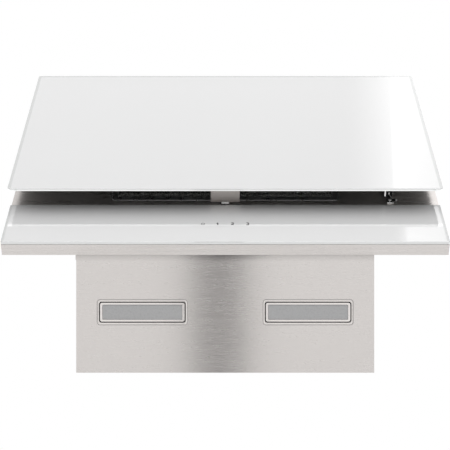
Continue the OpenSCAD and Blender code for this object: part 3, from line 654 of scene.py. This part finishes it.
# ---------------------------------------------------------------------------
# Pressed step in the sheet round each lamp
# ---------------------------------------------------------------------------
def lamp_press(name, cx):
    rings = []
    for grow, z in ((-2.3, -149.43), (-2.15, -149.62), (-1.1, -149.64), (-0.95, -149.66), (-0.1, -149.97), (0.25, -150.03), (0.55, -150.02), (0.55, -149.9), (-2.3, -149.33)):
        rings.append([(x, y, z) for x, y in rounded(121 + 2 * grow, 34 + 2 * grow, 4 + grow, 6, cx, -81)])
    verts, faces, which = loft(rings, plain, closed=True)
    # the step's inner rings take the lighter copy of the steel (painted highlight), the rest the darker copy (painted
    # shade)
    add(name, verts, outward(verts, faces), "hood", [M["press_inner"], M["press_outer"]], [0 if i < 3 else 1 for i in which], 25, ())


lamp_press("lamp_press_left", -111)
lamp_press("lamp_press_right", 111)


# ---------------------------------------------------------------------------
# Push catch: plunger with its fork and roller
# ---------------------------------------------------------------------------
def lathe(profile, place, k=40):
    rings = [[(r * math.cos(2 * math.pi * j / k), r * math.sin(2 * math.pi * j / k), h) for j in range(k)] for r, h in profile]
    return loft(rings, place)


def join(parts):
    """Several closed shells as one list of vertices and outward faces."""
    verts, faces = [], []
    for v, f in parts:
        base = len(verts)
        verts += v
        faces += [tuple(base + i for i in face) for face in outward(v, f)]
    return verts, faces


stem = lathe([(0.05, -11.5), (5.7, -11.5), (5.9, -11.3), (5.9, -10.2), (5.7, -10.0), (3.6, -10.0), (3.6, -4.85), (3.35, -4.6), (0.05, -4.6)],
             lambda a, b, c: slope(a, 98 + b, c))
fork = loft([[(x, s, n) for x, s in rounded(4.4, 5.6, 1.4, 4, 0, 98)] for n in (-4.9, -3.4)]
            + [[(x, s, -3.0) for x, s in rounded(4.0, 5.2, 1.4, 4, 0, 98)]], slope)
roller = lathe([(0.05, -5.2), (1.1, -5.2), (1.42, -5.02), (1.6, -4.6), (1.6, 4.6), (1.42, 5.02), (1.1, 5.2), (0.05, 5.2)],
               lambda a, b, c: slope(c, 98 + a, -1.9 + b), 32)
verts, faces = join([stem[:2], fork[:2], roller[:2]])
dark = len(stem[1]) + len(fork[1])
add("catch_plunger_roller", verts, faces, "push_catch", [M["black_plastic"], M["roller_white"]],
    [0 if i < dark else 1 for i in range(len(faces))], 28, ["catch_plunger"])


# ---------------------------------------------------------------------------
# Internal wiring as smooth cables along the CAD route
# ---------------------------------------------------------------------------
def cable(name, points, radius, body, material, bend=14.0):
    pts = [Vector(p) for p in points]
    path = [pts[0]]
    for a, b, c in zip(pts, pts[1:], pts[2:]):
        u, v = (a - b), (c - b)
        r = min(bend, u.length * 0.45, v.length * 0.45)
        p0, p2 = b + u.normalized() * r, b + v.normalized() * r
        for j in range(9):
            t = j / 8
            path.append(p0 * (1 - t) ** 2 + b * 2 * t * (1 - t) + p2 * t * t)
    path.append(pts[-1])
    rings, up = [], Vector((0.3, 0.2, 1)).normalized()
    for i, p in enumerate(path):
        d = (path[min(i + 1, len(path) - 1)] - path[max(i - 1, 0)]).normalized()
        side = up.cross(d).normalized()
        up = d.cross(side).normalized()
        rings.append([tuple(p + side * radius * math.cos(2 * math.pi * j / 12) + up * radius * math.sin(2 * math.pi * j / 12)) for j in range(12)])
    verts, faces, _ = loft(rings, plain)
    return add(name, verts, outward(verts, faces), body, [material], None, 40, ())


lamp_lead = cable("wiring_lamp_lead", [(192.1, -130, 127), (195, -130, 127), (195, -130, -100), (185, -60, -136), (70, -22, -138), (50.1, -22, -138)], 1.9, "hood", M["cable_pvc"], 2.5)
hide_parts("wiring_harness")
cable("wiring_motor_lead", [(87.9, -100, 126), (82, -100, 126), (80, -30, 60), (0, -25, -115), (-118, -25, -120), (-118, -63.4, -141)], 1.9, "hood", M["cable_pvc"], 5)


# spring clip that keeps the elbow's pin in the lower link
clip = [slope(*p) * 1000 for p in ((228.8, 98.0, 10.4), (230.6, 98.2, 8.2), (233.0, 99.3, 5.6), (233.5, 100.9, 2.6), (232.2, 101.9, 0.6), (230.2, 102.1, 0.2))]
cable("stay_elbow_clip", clip, 0.42, "stay_lower", M["clip_dull"], 1.2)


# ---------------------------------------------------------------------------
# Carried-over CAD nodes: finish by slot, broken edges
# ---------------------------------------------------------------------------
special = {
    "filter_seat": "stainless_inner",
    "tray_shell": "stainless_tray",
    "lower_trim": "stainless_trim",
    "catch_bracket": "stainless_warm",
    "stay_lower_link": "black_link",
    "stay_upper_link": "black_link",
    "body_shell": "stainless_body",
    "lamp_bezel_left": "stainless_bezel",
    "lamp_bezel_right": "stainless_bezel",
}
edge_width = {
    "body_shell": 0.45, "tray_shell": 0.3, "lower_trim": 0.25, "back_panel": 0.3, "top_panel": 0.3, "tray_back_plate": 0.3,
    "outlet_collar": 0.4, "lamp_bezel_left": 0.45, "lamp_bezel_right": 0.45, "filter_frame": 1.1, "catch_bracket": 0.35,
    "stay_rail": 0.3, "stay_lower_link": 0.3, "stay_upper_link": 0.3, "control_box": 0.5, "control_box_lid": 0.4, "capacitor": 0.6,
}
in_triangles = {"body_shell", "motor_spider"}
no_edges = {"catch_spring", "filter_latch_spring", "motor_shaft", "screws", "hanger_screws", "impeller"}
for name, o in nodes.items():
    slot_name = slot_of.get(name)
    key = special.get(name, slot_name)
    if key not in M:
        key = "galvanised"
    o.data.materials.clear()
    o.data.materials.append(M[key])
    o.data.polygons.foreach_set("use_smooth", [True] * len(o.data.polygons))
    if o.hide_render:
        continue
    if name == "impeller":
        continue
    weld = o.modifiers.new("weld", "WELD")
    weld.merge_threshold = 2e-6
    if name not in no_edges:
        flat = o.modifiers.new("flat", "DECIMATE")
        flat.decimate_type = "DISSOLVE"
        flat.angle_limit = math.radians(0.6)
        if name in in_triangles:
            # a face pinched between flange and edge can't turn over once it is in triangles
            o.modifiers.new("triangles", "TRIANGULATE")
        round_ = o.modifiers.new("round", "BEVEL")
        round_.width = edge_width.get(name, 0.25) / 1000
        round_.segments = 2
        round_.limit_method = "ANGLE"
        round_.angle_limit = math.radians(40)
        round_.harden_normals = False
        round_.use_clamp_overlap = True
    smooth = o.modifiers.new("normals", "WEIGHTED_NORMAL")
    smooth.keep_sharp = True

# the buffer's steel rod and screws
rest = nodes["stay_rest"]
rest.data.materials.append(M["satin_white"])
for f in rest.data.polygons:
    c = rest.matrix_world @ f.center * 1000
    s_at = -SA * (c.y - B0Y) + CA * (c.z - B0Z)
    n_at = -CA * (c.y - B0Y) - SA * (c.z - B0Z)
    if (s_at < 100.8 and n_at > -4.35) or (s_at < 103.15 and n_at > -3.3) or (c.x > 237 and n_at > -3.85):
        f.material_index = 1

# the rail's lower end is capped in white, with a painted glow
rail = nodes["stay_rail"]
rail.data.materials.append(M["white_end"])
for f in rail.data.polygons:
    c = rail.matrix_world @ f.center * 1000
    if -SA * (c.y - B0Y) + CA * (c.z - B0Z) < 99.4:
        f.material_index = 1

# painted shade: the trim's upper and rear faces get a darker copy of the brushed steel
trim = nodes["lower_trim"]
trim.data.materials.append(M["stainless_shade"])
for f in trim.data.polygons:
    if (trim.matrix_world.to_3x3() @ f.normal).z > 0.3:
        f.material_index = 1

# ---------------------------------------------------------------------------
# Room: pale floor, white surroundings, soft lights
# ---------------------------------------------------------------------------
world = bpy.data.worlds.new("studio")
scene.world = world
world.use_nodes = True
wt = world.node_tree
back = wt.nodes["Background"]
back.inputs["Color"].default_value = (1, 1, 1, 1)


def wmath(operation, a, b=None, c=None, clamp=False):
    n = wt.nodes.new("ShaderNodeMath")
    n.operation = operation
    n.use_clamp = clamp
    for i, v in enumerate((a, b, c)):
        if v is None:
            continue
        if isinstance(v, (int, float)):
            n.inputs[i].default_value = v
        else:
            wt.links.new(v, n.inputs[i])
    return n.outputs[0]


# white all round, with one bright soft box in front at the right: u is sideways and v upward per unit forward
wcoord = wt.nodes.new("ShaderNodeTexCoord")
wsplit = wt.nodes.new("ShaderNodeSeparateXYZ")
wt.links.new(wcoord.outputs["Generated"], wsplit.inputs[0])
ahead = wmath("MAXIMUM", wmath("MULTIPLY", wsplit.outputs[1], -1.0), 0.05)
u = wmath("DIVIDE", wsplit.outputs[0], ahead)
v = wmath("DIVIDE", wsplit.outputs[2], ahead)
edge = wmath("ADD", wmath("MULTIPLY", wmath("SUBTRACT", v, 0.42), 0.026), 0.1546)
edge = wmath("ADD", edge, wmath("MULTIPLY", wmath("MULTIPLY_ADD", v, -83.0, 34.7, clamp=True), 0.0109))
past = wmath("SUBTRACT", u, edge)
reach = wmath("MULTIPLY_ADD", wmath("MULTIPLY_ADD", v, 40.0, -16.2, clamp=True), 0.033, 0.012)
halo = wmath("MULTIPLY", wmath("POWER", wmath("ADD", wmath("DIVIDE", past, reach), 1.0, clamp=True), 1.6), 1.35)
box = wmath("MULTIPLY", wmath("MULTIPLY_ADD", past, 900.0, 0.5, clamp=True), 0.85)
fall = wmath("MULTIPLY", wmath("MULTIPLY_ADD", past, 1 / 0.05, -0.1, clamp=True), -0.9)
front = wmath("MULTIPLY_ADD", wsplit.outputs[1], -10.0, -3.0, clamp=True)
band = wmath("MULTIPLY", wmath("MULTIPLY_ADD", v, 40.0, -13.2, clamp=True), wmath("MULTIPLY_ADD", v, -16.0, 10.6, clamp=True))
extra = wmath("MULTIPLY", wmath("ADD", wmath("ADD", halo, box), fall), wmath("MULTIPLY", front, band))
extra = wmath("MULTIPLY", extra, wmath("MULTIPLY_ADD", u, -25.0, 6.5, clamp=True))
extra = wmath("MULTIPLY", extra, wmath("MULTIPLY_ADD", wmath("MULTIPLY_ADD", v, 45.45, -18.09, clamp=True), 0.4, 0.6))
# thin bright strip below the box, mirrored along the lower edge of the flap's reflection
strip = wmath("MULTIPLY", wmath("MULTIPLY", wmath("MULTIPLY_ADD", v, 1600.0, -630.9, clamp=True), wmath("MULTIPLY_ADD", v, -1600.0, 636.0, clamp=True)), front)
# a darker side of the room at the left
left = wmath("MULTIPLY", wmath("MULTIPLY_ADD", u, -25.0, -3.75, clamp=True), wmath("MULTIPLY_ADD", u, 10.0, 5.0, clamp=True))
for centre, slope_, start in ((0.3825, 60.0, -0.9), (0.515, 20.0, -1.7)):
    away = wmath("ABSOLUTE", wmath("SUBTRACT", v, centre))
    left = wmath("MULTIPLY", left, wmath("MULTIPLY_ADD", away, slope_, start, clamp=True))
left = wmath("MULTIPLY", left, wmath("MULTIPLY_ADD", wmath("ABSOLUTE", wmath("SUBTRACT", v, 0.35)), -2.5, 2.0, clamp=True))
total = wmath("ADD", wmath("MULTIPLY_ADD", strip, 1.6, extra), 1.0)
wt.links.new(wmath("MULTIPLY_ADD", wmath("MULTIPLY", left, front), -0.32, total), back.inputs["Strength"])


def plane(name, size, location, scale, colour, rough=0.8, grain=0.8):
    bpy.ops.mesh.primitive_plane_add(size=size, location=location)
    o = bpy.context.object
    o.name = name
    o.scale = scale
    t = Tree(name + "_finish")
    t.out("Base Color", t.ramp(t.noise(t.coord.outputs["Object"], grain, 2), [(0.3, shade(colour, 0.98)), (0.7, shade(colour, 1.02))]))
    t.set(Roughness=rough)
    o.data.materials.append(t.material)
    return o


# the floor: its gloss side is seen and mirrored, its plain side sends less light up
floor = plane("floor", 14, (0, -1.5, -1.95), (1, 1, 1), (0.795, 0.795, 0.795))
floor.visible_diffuse = False
floor.visible_shadow = False
under = plane("floor_under", 14, (0, -1.5, -1.955), (1, 1, 1), (0.31, 0.31, 0.31))
under.visible_camera = False
under.visible_glossy = False


def panel(name, centre, target, w, h, energy, colour=(1, 1, 1)):
    light = bpy.data.lights.new(name, "AREA")
    light.shape = "RECTANGLE"
    light.size, light.size_y = w, h
    light.energy = energy
    light.color = colour
    o = bpy.data.objects.new(name, light)
    o.location = centre
    o.rotation_euler = (Vector(target) - Vector(centre)).to_track_quat("-Z", "Y").to_euler()
    scene.collection.objects.link(o)
    o.visible_camera = False
    return o


# large soft box in front
front_box = panel("softbox_front", (0, -2.4, -0.65), (0, -0.3, -0.65), 6.0, 2.3, 50)
front_box.visible_glossy = False

# narrow strip straight below the flap's lower edge, which sends it back by way of the control glass
edge_strip = panel("edge_strip", (0, -0.246, -1.79), (0, -0.246, 0), 1.4, 0.024, 0.085)
edge_strip_middle = panel("edge_strip_middle", (-0.019, -0.246, -1.795), (-0.019, -0.246, 0), 0.142, 0.024, 0.008)
for strip_light in (edge_strip, edge_strip_middle):
    strip_light.visible_diffuse = False
    strip_light.visible_transmission = False

# dark card by the camera, which the brushed underside mirrors as a soft band
card = plane("dark_card", 1, (-0.019, -0.1, -1.80), (0.142, 1.2, 1), (0.014, 0.014, 0.014), 0.9, 60)
card.visible_camera = False
card.visible_diffuse = False
card.visible_shadow = False
